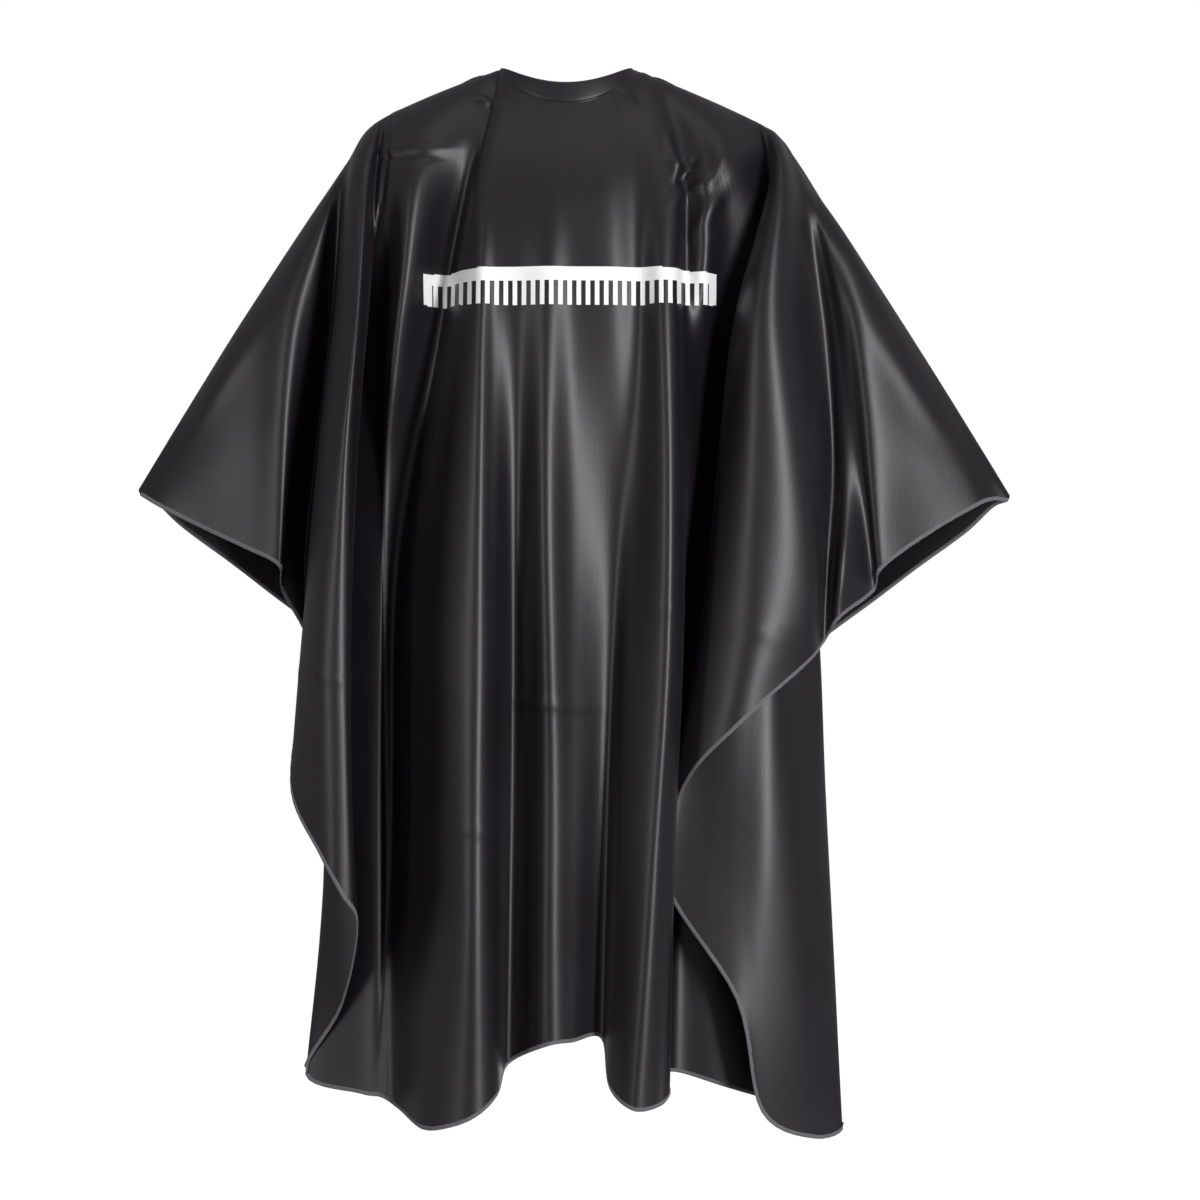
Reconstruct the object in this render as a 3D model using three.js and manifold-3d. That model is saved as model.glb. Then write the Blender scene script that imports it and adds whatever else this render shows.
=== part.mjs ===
// Barber cape hanging on an unseen form. Millimetres, +Z up, the chest faces -Y.
// The origin is the middle of the neck opening, level with the low point of the front neckline.
import * as THREE from 'three';
import { mergeVertices } from 'three/addons/utils/BufferGeometryUtils.js';
import Module from 'manifold-3d';

const wasm = await Module();
wasm.setup();

// Neckband: an oval ring that rises at the sides of the neck
const neckHalfWidth = 77;
const neckHalfDepth = 60;
const neckSideRise = 26;
const bandHeight = 24;
const bandSideSlimming = 0.45;
const bandFlare = 5;
const bandClothThickness = 0.7;
const stiffenerThickness = 0.9;
const stiffenerInset = 2.5;
const closureAngle = 36;

// The sheet as it hangs
const clothThickness = 0.9;
const clothSeat = 0.8;
const frontDrop = 1107;
const chestDepth = 140;
const backDrop = 330;
const backDepth = 105;
const openingSetback = 1;
const hemFoldDepth = 34;
const hemFoldWidth = 118;
const chestBulge = 18;
const wingBulge = 14;
const backBulge = 22;
const ridgeRise = 9;
const shoulderRise = 4;
const wings = {
  left: {
    side: -1,
    shoulderOut: 228,
    shoulderDrop: 40,
    reach: 506,
    drop: 471,
    cornerOut: 306,
    cornerDrop: 1163,
  },
  right: {
    side: 1,
    shoulderOut: 246,
    shoulderDrop: 50,
    reach: 524,
    drop: 478,
    cornerOut: 320,
    cornerDrop: 1218,
  },
};

// Overlock thread round the free edges
const overlockWidth = 3;
const overlockThickness = 1.6;
const overlockGap = 0.85;

// Tabs and snaps of the closure
const tabThickness = 1.6;
const tabOverlapAngle = 32;
const underTabShortAngle = 2;
const tabRootGap = 0.6;
const tabStepAngle = 8;
const snapRadius = 5.5;
const snapPitchAngle = 13;
const studCount = 5;
const studFlange = 0.8;
const knobRadius = 2.2;
const knobHeight = 1.5;
const knobClearance = 0.4;
const socketHeight = 2.1;
const socketFloor = 0.5;
const capHeight = 1.3;
const postRadius = 0.9;
const postHoleRadius = 1.3;
const postHeadThickness = 0.9;
const snapSides = 14;

// Care label inside the side of the neck
const labelWidth = 16;
const labelLength = 40;
const labelThickness = 0.5;
const labelInset = 0.5;
const labelDrop = 0.75;

// Print on the chest: a plain comb
const combWidth = 330;
const combHeight = 46;
const combSpine = 17;
const combTeeth = 19;
const combTop = -221;
const combThickness = 0.5;

const seatGap = 0.3;
const radians = Math.PI / 180;

const satin = new THREE.MeshStandardMaterial({ color: 0x1b1a1d, roughness: 0.42, metalness: 0 });
const innerCloth = new THREE.MeshStandardMaterial({ color: 0x121214, roughness: 0.6, metalness: 0 });
const interfacing = new THREE.MeshStandardMaterial({ color: 0xd8d8d2, roughness: 0.9, metalness: 0 });
const thread = new THREE.MeshStandardMaterial({ color: 0x2a292c, roughness: 0.8, metalness: 0 });
const snapPlastic = new THREE.MeshStandardMaterial({ color: 0x151517, roughness: 0.35, metalness: 0 });
const printInk = new THREE.MeshStandardMaterial({ color: 0xf2f2f0, roughness: 0.7, metalness: 0 });
const labelCloth = new THREE.MeshStandardMaterial({ color: 0xe9e7e0, roughness: 0.8, metalness: 0 });

const cape = new THREE.Group();

function addMesh(name, geometry, material) {
  const mesh = new THREE.Mesh(geometry, material);
  mesh.name = name;
  cape.add(mesh);
}

// Faces of a closed block of points[i][j][k]: its outer quads only, turned to face out.
function blockGeometry(points) {
  const counts = [points.length, points[0].length, points[0][0].length];
  const positions = [];
  const at = (i, j, k) => points[i][j][k];
  const quad = (a, b, c, d) => {
    for (const p of [a, b, c, a, c, d]) {
      positions.push(p.x, p.y, p.z);
    }
  };
  const [ni, nj, nk] = counts.map((count) => count - 1);
  for (let i = 0; i < ni; i += 1) {
    for (let j = 0; j < nj; j += 1) {
      quad(at(i, j, nk), at(i + 1, j, nk), at(i + 1, j + 1, nk), at(i, j + 1, nk));
      quad(at(i, j, 0), at(i, j + 1, 0), at(i + 1, j + 1, 0), at(i + 1, j, 0));
    }
    for (let k = 0; k < nk; k += 1) {
      quad(at(i, 0, k), at(i + 1, 0, k), at(i + 1, 0, k + 1), at(i, 0, k + 1));
      quad(at(i, nj, k), at(i, nj, k + 1), at(i + 1, nj, k + 1), at(i + 1, nj, k));
    }
  }
  for (let j = 0; j < nj; j += 1) {
    for (let k = 0; k < nk; k += 1) {
      quad(at(0, j, k), at(0, j, k + 1), at(0, j + 1, k + 1), at(0, j + 1, k));
      quad(at(ni, j, k), at(ni, j + 1, k), at(ni, j + 1, k + 1), at(ni, j, k + 1));
    }
  }
  return faceOutward(positions);
}

// Merges shared corners and, if the body's signed volume is negative, turns every face round.
function faceOutward(positions) {
  const loose = new THREE.BufferGeometry();
  loose.setAttribute('position', new THREE.Float32BufferAttribute(positions, 3));
  const merged = mergeVertices(loose, 1e-3);
  const index = Array.from(merged.index.array);
  const corner = (n) => new THREE.Vector3().fromBufferAttribute(merged.attributes.position, index[n]);
  let volume = 0;
  for (let n = 0; n < index.length; n += 3) {
    volume += corner(n).dot(corner(n + 1).cross(corner(n + 2)));
  }
  if (volume < 0) {
    index.reverse();
  }
  merged.setIndex(index);
  return merged;
}

// A shell of even thickness about a surface given by surface(a, b), or offset from it along its normal.
function shellGeometry(surface, acrossStops, downStops, thickness, offset = 0) {
  const nudge = 1e-3;
  const points = acrossStops.map((a) => downStops.map((b) => {
    const centre = surface(a, b);
    const along = surface(a + nudge, b).sub(surface(a - nudge, b));
    const down = surface(a, b + nudge).sub(surface(a, b - nudge));
    const normal = along.cross(down).normalize();
    return [offset - thickness / 2, offset + thickness / 2].map((distance) => (
      centre.clone().addScaledVector(normal, distance)
    ));
  }));
  return blockGeometry(points);
}

function stops(from, to, count) {
  return Array.from({ length: count + 1 }, (_, n) => from + ((to - from) * n) / count);
}

// Neck curve: angle 0 is the front, 90 the wearer's left (+X), 180 the nape.
// Below its top edge the ring flares outward, and it is slimmer at the sides than in front.
function neckPoint(angle, below, outward = 0) {
  const a = angle * radians;
  const flare = (bandFlare * below) / bandHeight;
  return new THREE.Vector3(
    (neckHalfWidth + flare + outward) * Math.sin(a),
    -(neckHalfDepth + flare + outward) * Math.cos(a),
    neckSideRise * Math.sin(a) ** 2 - below * (1 - bandSideSlimming * Math.sin(a) ** 2),
  );
}

// Every line of cloth runs from a top point on the neckband or the shoulder and wing ridge
// to a bottom point on the hem or a side edge. Line 0 is the middle, line 9 the wing tip.
const tipLine = 9;
const foldsEnd = 4.2;

function ridgeCurve(wing, ridgeSide) {
  const { side, shoulderOut, shoulderDrop, reach, drop } = wing;
  const neckSide = neckPoint(90 * side, bandHeight + clothSeat);
  const shoulder = new THREE.Vector3(side * shoulderOut, 0, -shoulderDrop);
  const tip = new THREE.Vector3(side * reach, 0, -drop);
  const between = (a, b, t, lift) => a.clone().lerp(b, t).add(new THREE.Vector3(0, 0, lift));
  const points = [neckSide, between(neckSide, shoulder, 0.5, shoulderRise), shoulder];
  for (const t of [0.12, 0.3, 0.52, 0.77, 1]) {
    points.push(between(shoulder, tip, t, ridgeRise * Math.sin(Math.PI * t)));
  }
  const curve = new THREE.CatmullRomCurve3(points.map((p) => p.setY(p.y + ridgeSide * seatGap / 2)));
  return (line) => curve.getPoint(Math.min(Math.max((line - 2) / (tipLine - 2), 0), 1));
}

function edgeCurve(points) {
  const curve = new THREE.CatmullRomCurve3(points.map((p) => new THREE.Vector3(...p)));
  return (line) => curve.getPoint(Math.min(Math.max(line / (points.length - 1), 0), 1));
}

// Free edge of the front: hem, corner, the body's outer fold, then the wing's front edge.
function frontEdge(wing) {
  const { side, reach, drop, cornerOut, cornerDrop } = wing;
  const foldTop = drop + 180;
  return edgeCurve([
    [0, -chestDepth, -frontDrop],
    [side * cornerOut * 0.18, -chestDepth, -frontDrop - 22],
    [side * cornerOut * 0.4, -chestDepth + 4, -cornerDrop + 40],
    [side * cornerOut * 0.7, -chestDepth + 45, -cornerDrop + 30],
    [side * cornerOut, -18, -cornerDrop],
    [side * (cornerOut - 14), -18, -foldTop - 190],
    [side * (cornerOut - 12), -24, -foldTop],
    [side * (reach - 168), -52, -drop - 100],
    [side * (reach - 84), -38, -drop - 46],
    [side * (reach - 3), -7, -drop - 5],
  ]);
}

// Free edge of the back: hem, back corner, then the wing's back edge.
function backEdge(wing) {
  const { side, reach, drop } = wing;
  const corner = { out: reach - 236, drop: drop + 188 };
  return edgeCurve([
    [side * 38, backDepth, -backDrop],
    [side * 95, backDepth + 6, -backDrop - 75],
    [side * 150, backDepth + 2, -backDrop - 155],
    [side * 215, backDepth - 12, -backDrop - 245],
    [side * corner.out, backDepth - 40, -corner.drop],
    [side * (corner.out + 52), 48, -corner.drop + 42],
    [side * (corner.out + 100), 38, -corner.drop + 80],
    [side * (reach - 84), 26, -drop - 66],
    [side * (reach - 42), 16, -drop - 33],
    [side * (reach - 3), 7, -drop - 5],
  ]);
}

// Cloth leaves its top edge level, rolls over and then hangs to its free edge.
function hang(top, bottom, down, bulge, fold) {
  const out = 1 - (1 - down) ** 5;
  const fall = Math.max(0, down) ** 1.25;
  const x = top.x + (bottom.x - top.x) * (0.7 * down + 0.3 * out);
  const y = top.y + (bottom.y - top.y) * out + bulge * Math.sin(Math.PI * down) + fold * down;
  return new THREE.Vector3(x, y, top.z + (bottom.z - top.z) * fall);
}

const fronts = { left: frontEdge(wings.left), right: frontEdge(wings.right) };
const frontRidges = { left: ridgeCurve(wings.left, -1), right: ridgeCurve(wings.right, -1) };
const backs = { left: backEdge(wings.left), right: backEdge(wings.right) };
const backRidges = { left: ridgeCurve(wings.left, 1), right: ridgeCurve(wings.right, 1) };

// across runs from -9 at the left wing tip to 9 at the right one
function frontSurface(across, down) {
  const name = across < 0 ? 'left' : 'right';
  const line = Math.abs(across);
  const side = wings[name].side;
  const neckAngle = 45 * line * side;
  const top = line < 2 ? neckPoint(neckAngle, bandHeight + clothSeat) : frontRidges[name](line);
  const bottom = fronts[name](line);
  const folded = Math.max(0, 1 - (line / foldsEnd) ** 4);
  const wave = Math.cos((2 * Math.PI * bottom.x) / hemFoldWidth);
  const bulge = -chestBulge - wingBulge * Math.min(1, line / foldLine);
  const taper = Math.min(1, (tipLine - line) / 2 + 0.05);
  return hang(top, bottom, down, bulge * taper, -hemFoldDepth * folded * wave);
}

// across runs from 0 at the opening edge to 9 at the wing tip
function backSurface(name, across, down) {
  const line = Math.max(0, Math.min(tipLine, across));
  const side = wings[name].side;
  const openingAngle = 180 - closureAngle - openingSetback;
  const neckAngle = side * (openingAngle + ((90 - openingAngle) * line) / 2);
  const top = line < 2 ? neckPoint(neckAngle, bandHeight + clothSeat) : backRidges[name](line);
  const taper = Math.min(1, (tipLine - line) / 2 + 0.05);
  return hang(top, backs[name](line), down, backBulge * taper, 0);
}

// A flat strip that follows a free edge just outside it, square to the edge and level with the cloth.
function overlockGeometry(path) {
  const points = path.map(({ edge, inner, normal }, n) => {
    const before = path[Math.max(n - 1, 0)].edge;
    const after = path[Math.min(n + 1, path.length - 1)].edge;
    const tangent = after.clone().sub(before).normalize();
    const away = edge.clone().sub(inner);
    const outward = tangent.clone().cross(normal).normalize();
    if (outward.dot(away) < 0) {
      outward.negate();
    }
    return [overlockGap, overlockGap + overlockWidth].map((reachOut) => (
      [-overlockThickness / 2, overlockThickness / 2].map((rise) => (
        edge.clone().addScaledVector(outward, reachOut).addScaledVector(normal, rise)
      ))
    ));
  });
  return blockGeometry(points);
}

// Edge points of a surface with the direction into the cloth and the cloth's normal.
function edgeStation(surface, across, down, inward) {
  const nudge = 1e-3;
  const along = surface(across + nudge, down).sub(surface(across - nudge, down));
  const fall = surface(across, Math.min(down + nudge, 1)).sub(surface(across, down - nudge));
  return {
    edge: surface(across, down),
    inner: surface(across + inward[0], down + inward[1]),
    normal: along.cross(fall).normalize(),
  };
}

const foldLine = 4;
const wingLine = 4.4;
const frontStops = [
  ...stops(-tipLine, -foldLine - 0.4, 10),
  ...stops(-foldLine, foldLine, 40),
  ...stops(foldLine + 0.4, tipLine, 10),
];
// The front in four panels that meet edge to edge; half the gap between two is panelSetback lines wide
const panelSetback = 0.00275;
const frontPanels = {
  left_wing_cloth: [-tipLine, -wingLine],
  left_front_cloth: [-wingLine, 0],
  right_front_cloth: [0, wingLine],
  right_wing_cloth: [wingLine, tipLine],
};
const downStops = stops(0, 1, 13).map((t) => t ** 1.5);
const backStops = stops(0, tipLine, 20);
const backDownStops = stops(0, 1, 8).map((t) => t ** 1.4);

// Steps from a free edge into the cloth, as (across, down)
const intoHem = [0, -0.01];
const intoOpening = [0.05, 0];

function addCloth() {
  const setback = (line) => (Math.abs(line) < tipLine ? panelSetback : 0);
  for (const [name, [from, to]] of Object.entries(frontPanels)) {
    const inside = frontStops.filter((across) => across > from + 0.1 && across < to - 0.1);
    const across = [from + setback(from), ...inside, to - setback(to)];
    addMesh(name, shellGeometry(frontSurface, across, downStops, clothThickness), satin);
  }
  const frontPath = frontStops.map((a) => edgeStation(frontSurface, a, 1, intoHem));
  addMesh('front_overlock', overlockGeometry(frontPath), thread);
  for (const name of ['left', 'right']) {
    const surface = (across, down) => backSurface(name, across, down);
    const shell = shellGeometry(surface, backStops, backDownStops, clothThickness);
    addMesh(`${name}_back_cloth`, shell, satin);
    const hem = [...backStops].reverse().map((a) => edgeStation(surface, a, 1, intoHem));
    const corner = hem.pop();
    corner.inner = surface(0.12, 0.97);
    const openingDowns = backDownStops.slice(1, -1).reverse();
    const opening = openingDowns.map((d) => edgeStation(surface, 0.002, d, intoOpening));
    addMesh(`${name}_back_overlock`, overlockGeometry([...hem, corner, ...opening]), thread);
  }
}

// A strip of the band between two angles. outward(angle) is its mid-thickness distance from the neck curve.
function bandStrip(fromAngle, toAngle, steps, outward, thickness, inset = 0) {
  const rows = [inset, bandHeight / 2, bandHeight - inset];
  const points = stops(fromAngle, toAngle, steps).map((angle) => rows.map((below) => (
    [-thickness / 2, thickness / 2].map((half) => neckPoint(angle, below, outward(angle) + half))
  )));
  return blockGeometry(points);
}

const bandClothOut = stiffenerThickness / 2 + seatGap + bandClothThickness / 2;

function addNeckband() {
  const end = 180 - closureAngle;
  const ring = (outward, thickness, inset) => bandStrip(-end, end, 36, () => outward, thickness, inset);
  addMesh('neckband_stiffener', ring(0, stiffenerThickness, stiffenerInset), interfacing);
  addMesh('neckband_outer', ring(bandClothOut, bandClothThickness), satin);
  addMesh('neckband_lining', ring(-bandClothOut, bandClothThickness), innerCloth);
}

// Distances out from the neck curve through the closed snaps, from the skin side outward
const studSeat = tabThickness / 2 + seatGap;
const socketSeat = studSeat + studFlange + seatGap;
const overTabOut = socketSeat + socketHeight + seatGap + tabThickness / 2;
const capSeat = overTabOut + tabThickness / 2 + seatGap;

const tabRootAngle = 180 - closureAngle + tabRootGap;

// The over tab leaves the band on the neck curve and steps out past the snaps.
function overTabOutward(angle) {
  const step = Math.min(1, Math.max(0, (angle - tabRootAngle) / tabStepAngle));
  return overTabOut * (step * step * (3 - 2 * step));
}

// Profiles turn about the axis that points away from the neck, starting and ending on it.
function snapGeometry(profile) {
  const points = profile.map(([radius, height]) => new THREE.Vector2(radius, height));
  return new THREE.LatheGeometry(points, snapSides).deleteAttribute('normal').deleteAttribute('uv');
}

// Puts a turned piece on the closure at an angle from the nape, standing out from the neck curve.
function placeSnap(geometry, angleFromNape, outward) {
  const angle = 180 - angleFromNape;
  const centre = neckPoint(angle, bandHeight / 2);
  const along = neckPoint(angle + 0.1, bandHeight / 2).sub(neckPoint(angle - 0.1, bandHeight / 2));
  const down = neckPoint(angle, bandHeight / 2 + 1).sub(neckPoint(angle, bandHeight / 2 - 1));
  const out = along.normalize().cross(down.normalize()).normalize();
  if (out.y < 0) {
    out.negate();
  }
  const turn = new THREE.Quaternion().setFromUnitVectors(new THREE.Vector3(0, 1, 0), out);
  return geometry.clone().applyQuaternion(turn)
    .translate(...centre.addScaledVector(out, outward).toArray());
}

function toSolid(geometry) {
  const bare = new THREE.BufferGeometry();
  bare.setAttribute('position', geometry.attributes.position);
  if (geometry.index) {
    bare.setIndex(geometry.index);
  }
  const merged = mergeVertices(bare, 1e-3);
  return new wasm.Manifold(new wasm.Mesh({
    numProp: 3,
    vertProperties: new Float32Array(merged.attributes.position.array),
    triVerts: new Uint32Array(merged.index.array),
  }));
}

function fromSolid(solid) {
  const mesh = solid.getMesh();
  const geometry = new THREE.BufferGeometry();
  geometry.setAttribute('position', new THREE.Float32BufferAttribute(mesh.vertProperties, 3));
  geometry.setIndex(Array.from(mesh.triVerts));
  return geometry;
}

// A tab with a hole for each snap's post.
function piercedTab(strip, snapAngles, outward) {
  const reach = tabThickness + seatGap;
  const drill = snapGeometry([[0, -reach], [postHoleRadius, -reach], [postHoleRadius, reach], [0, reach]]);
  let tab = toSolid(strip);
  for (const angle of snapAngles) {
    tab = tab.subtract(toSolid(placeSnap(drill, angle, outward)));
  }
  return fromSolid(tab);
}

const capProfile = [
  [0, -tabThickness - seatGap],
  [postRadius, -tabThickness - seatGap],
  [postRadius, 0],
  [snapRadius, 0],
  [snapRadius, capHeight * 0.45],
  [snapRadius * 0.7, capHeight * 0.9],
  [0, capHeight],
];
const socketProfile = [
  [0, socketHeight - socketFloor],
  [knobRadius + knobClearance, socketHeight - socketFloor],
  [knobRadius + knobClearance, 0],
  [snapRadius * 0.8, 0],
  [snapRadius, socketHeight * 0.4],
  [snapRadius, socketHeight],
  [0, socketHeight],
];
const studProfile = [
  [0, 0],
  [snapRadius, 0],
  [snapRadius, studFlange],
  [knobRadius * 0.85, studFlange],
  [knobRadius, studFlange + knobHeight * 0.6],
  [knobRadius * 0.7, studFlange + knobHeight],
  [0, studFlange + knobHeight],
];
const postProfile = [
  [0, -postHeadThickness],
  [snapRadius, -postHeadThickness],
  [snapRadius, 0],
  [postRadius, 0],
  [postRadius, tabThickness + seatGap],
  [0, tabThickness + seatGap],
];

function addClosure() {
  const root = tabRootAngle;
  const middle = (studCount - 1) / 2;
  const studAngles = Array.from({ length: studCount }, (_, n) => (n - middle) * snapPitchAngle);
  const socketAngles = [-snapPitchAngle, snapPitchAngle];
  const underEnd = -180 - tabOverlapAngle + underTabShortAngle;
  const underStrip = bandStrip(-root, underEnd, 14, () => 0, tabThickness);
  addMesh('under_tab', piercedTab(underStrip, studAngles, 0), innerCloth);
  const overStrip = bandStrip(root, 180 + tabOverlapAngle, 26, overTabOutward, tabThickness);
  addMesh('over_tab', piercedTab(overStrip, socketAngles, overTabOut), satin);
  studAngles.forEach((angle, n) => {
    const stud = placeSnap(snapGeometry(studProfile), angle, studSeat);
    const post = placeSnap(snapGeometry(postProfile), angle, -tabThickness / 2 - seatGap);
    addMesh(`snap_stud_${n + 1}`, stud, snapPlastic);
    addMesh(`snap_post_${n + 1}`, post, snapPlastic);
  });
  socketAngles.forEach((angle, n) => {
    addMesh(`snap_socket_${n + 1}`, placeSnap(snapGeometry(socketProfile), angle, socketSeat), snapPlastic);
    addMesh(`snap_cap_${n + 1}`, placeSnap(snapGeometry(capProfile), angle, capSeat), snapPlastic);
  });
}

// The label hangs straight down from the lining where the band's lower edge runs level.
function addCareLabel() {
  const seat = neckPoint(90, bandHeight + seatGap, -bandClothOut - labelInset);
  const label = new THREE.BoxGeometry(labelThickness, labelWidth, labelLength);
  label.translate(seat.x, 0, seat.z - labelDrop - labelLength / 2);
  addMesh('care_label', label, labelCloth);
}

// The comb's outline seen from the front, as a block from well behind the chest to well before it.
function combBlock(left, right, top, bottom) {
  const depths = [-2 * chestDepth, 0];
  return toSolid(blockGeometry([left, right].map((x) => [bottom, top].map((z) => (
    depths.map((y) => new THREE.Vector3(x, y, z))
  )))));
}

// A layer parallel to the front cloth, cut to a comb's side view: a long spine with even teeth.
function addChestPrint() {
  const outer = -(clothThickness / 2 + seatGap + combThickness / 2);
  const near = frontStops.filter((across) => Math.abs(across) <= foldLine);
  const layer = toSolid(shellGeometry(frontSurface, near, downStops.slice(0, -2), combThickness, outer));
  const pitch = combWidth / (2 * combTeeth - 1);
  let outline = combBlock(-combWidth / 2, combWidth / 2, combTop, combTop - combSpine);
  for (let tooth = 0; tooth < combTeeth; tooth += 1) {
    const left = -combWidth / 2 + 2 * tooth * pitch;
    outline = outline.add(combBlock(left, left + pitch, combTop, combTop - combHeight));
  }
  addMesh('chest_print', fromSolid(layer.intersect(outline)), printInk);
}

addCloth();
addNeckband();
addClosure();
addCareLabel();
addChestPrint();

export default cape;
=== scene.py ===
# Barber cape: a black satin sheet with a neckband, open down the back, hanging with its sides held out.
# Everything is in metres in the part's own frame: +Z up, the chest faces -Y, the origin is in the neck.
import bpy
import bmesh
import math
import numpy as np
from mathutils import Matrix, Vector


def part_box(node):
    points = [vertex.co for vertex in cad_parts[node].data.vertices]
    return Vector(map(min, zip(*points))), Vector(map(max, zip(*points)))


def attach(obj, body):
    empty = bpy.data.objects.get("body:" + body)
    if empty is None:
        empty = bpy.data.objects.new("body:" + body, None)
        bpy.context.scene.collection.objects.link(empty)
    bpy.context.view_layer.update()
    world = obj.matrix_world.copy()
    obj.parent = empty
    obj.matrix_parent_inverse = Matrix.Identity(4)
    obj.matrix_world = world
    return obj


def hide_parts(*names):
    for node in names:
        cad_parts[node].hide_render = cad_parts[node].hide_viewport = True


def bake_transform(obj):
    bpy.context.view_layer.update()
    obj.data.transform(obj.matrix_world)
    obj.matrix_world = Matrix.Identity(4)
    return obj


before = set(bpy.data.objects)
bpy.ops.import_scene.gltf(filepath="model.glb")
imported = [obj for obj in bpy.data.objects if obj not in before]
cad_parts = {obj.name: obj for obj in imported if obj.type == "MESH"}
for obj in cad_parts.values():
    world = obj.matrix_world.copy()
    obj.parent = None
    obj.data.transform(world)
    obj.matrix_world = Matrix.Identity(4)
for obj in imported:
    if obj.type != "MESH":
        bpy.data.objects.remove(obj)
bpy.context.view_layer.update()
mm = 0.001


def linear(hexColour):
    # sRGB to linear: c/12.92 near black, ((c + 0.055)/1.055)^2.4 above
    channels = [int(hexColour[i:i + 2], 16) / 255 for i in (1, 3, 5)]
    return tuple(c / 12.92 if c <= 0.04045 else ((c + 0.055) / 1.055) ** 2.4 for c in channels) + (1.0,)


def addNode(tree, kind, settings=None, inputs=None, links=None):
    # links: input name or number -> the socket that feeds it
    node = tree.nodes.new(kind)
    for name, value in (settings or {}).items():
        setattr(node, name, value)
    for name, value in (inputs or {}).items():
        node.inputs[name].default_value = value
    for name, socket in (links or {}).items():
        tree.links.new(socket, node.inputs[name])
    return node


def newMaterial(name, **shader):
    # a node material with the given inputs set on its Principled shader
    material = bpy.data.materials.new(name)
    material.use_nodes = True
    principled = material.node_tree.nodes["Principled BSDF"]
    for key, value in shader.items():
        principled.inputs[key].default_value = value
    return material, material.node_tree, principled


def meshObject(name, verts, faces, material):
    # a smooth-shaded object; faces is a list of vertex number lists, or an array with one face a row
    mesh = bpy.data.meshes.new(name)
    mesh.from_pydata(np.asarray(verts, float).tolist(), [], faces if isinstance(faces, list) else faces.tolist())
    mesh.polygons.foreach_set("use_smooth", np.ones(len(mesh.polygons), bool))
    mesh.materials.append(material)
    mesh.update()
    obj = bpy.data.objects.new(name, mesh)
    bpy.context.scene.collection.objects.link(obj)
    return obj


def gridFaces(index, closedDown=False):
    # quads between neighbouring rows and columns of an array of vertex numbers
    if closedDown:
        index = np.concatenate([index, index[:, :1]], axis=1)
    a, b = index[:-1, :-1], index[1:, :-1]
    c, d = index[1:, 1:], index[:-1, 1:]
    return np.stack([a, b, c, d], axis=-1).reshape(-1, 4)


def unit(v):
    # each vector over its length
    return v / np.maximum(np.linalg.norm(v, axis=-1, keepdims=True), 1e-12)


def splineWeights(places, count):
    # Catmull-Rom weights: row i gives a curve through count points at place i (0 .. count-1)
    places = np.clip(places, 0, count - 1)
    first = np.minimum(places.astype(int), count - 2)
    t = places - first
    four = np.stack([
        -0.5 * t ** 3 + t ** 2 - 0.5 * t,
        1.5 * t ** 3 - 2.5 * t ** 2 + 1,
        -1.5 * t ** 3 + 2 * t ** 2 + 0.5 * t,
        0.5 * t ** 3 - 0.5 * t ** 2,
    ], axis=1)
    weights = np.zeros((len(places), count + 2))
    np.add.at(weights, (np.arange(len(places))[:, None], first[:, None] + np.arange(4)), four)
    weights[:, 1] += 2 * weights[:, 0]      # the point before the first mirrors the second
    weights[:, 2] -= weights[:, 0]
    weights[:, -2] += 2 * weights[:, -1]    # and the one past the last mirrors the last but one
    weights[:, -3] -= weights[:, -1]
    return weights[:, 1:-1]


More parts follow.
